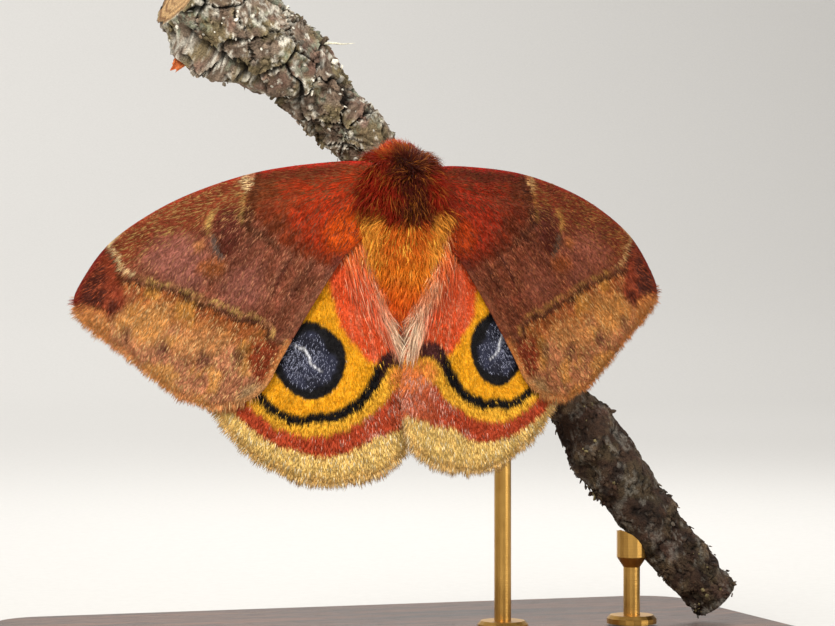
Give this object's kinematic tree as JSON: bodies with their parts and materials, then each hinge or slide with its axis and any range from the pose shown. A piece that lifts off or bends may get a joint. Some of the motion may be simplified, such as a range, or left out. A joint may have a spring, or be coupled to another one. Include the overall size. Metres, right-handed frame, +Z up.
{
  "type": "io moth",
  "caption": "Still life-size female io moth, wings spread, gripping a cut twig held by a flat display stand.",
  "frame": {"origin": "centre of the stand base's underside, at floor level", "axes": "+Z up; the moth's head points up (+Z), its back and upper wing faces look towards -Y, its right wings reach towards +X"},
  "size_m": [0.092, 0.062, 0.0821],
  "materials": {
    "fore_scales": "soft powdery scales, rosy brown with olive and ochre bands",
    "hind_scales": "soft powdery scales, golden yellow with a black eyespot and a dark red band",
    "thorax_hair": "dense long maroon hair tipped with olive gold",
    "head_hair": "short red-orange hair",
    "abdomen_hair": "orange and yellow-gold hair",
    "leg_hair": "dull red short hair on horny legs",
    "antenna_horn": "matt tan horn",
    "eye_lens": "dark glossy faceted eye",
    "bark": "rough grey-brown bark with pale lichen",
    "stand_wood": "satin oiled hardwood",
    "stand_brass": "satin brass"
  },
  "bodies": {
    "root": {"head": "head_hair", "thorax": "thorax_hair", "abdomen": "abdomen_hair", "eye_left": "eye_lens", "eye_right": "eye_lens", "palp_left": "head_hair", "palp_right": "head_hair", "antenna_left": "antenna_horn", "antenna_right": "antenna_horn", "forewing_left": "fore_scales", "forewing_right": "fore_scales", "hindwing_left": "hind_scales", "hindwing_right": "hind_scales", "leg_front_left": "leg_hair", "leg_front_right": "leg_hair", "leg_mid_left": "leg_hair", "leg_mid_right": "leg_hair", "leg_hind_left": "leg_hair", "leg_hind_right": "leg_hair", "perch": "bark", "stand_base": "stand_wood", "stand_rod_low": "stand_brass", "stand_rod_high": "stand_brass"}
  },
  "joints": []
}
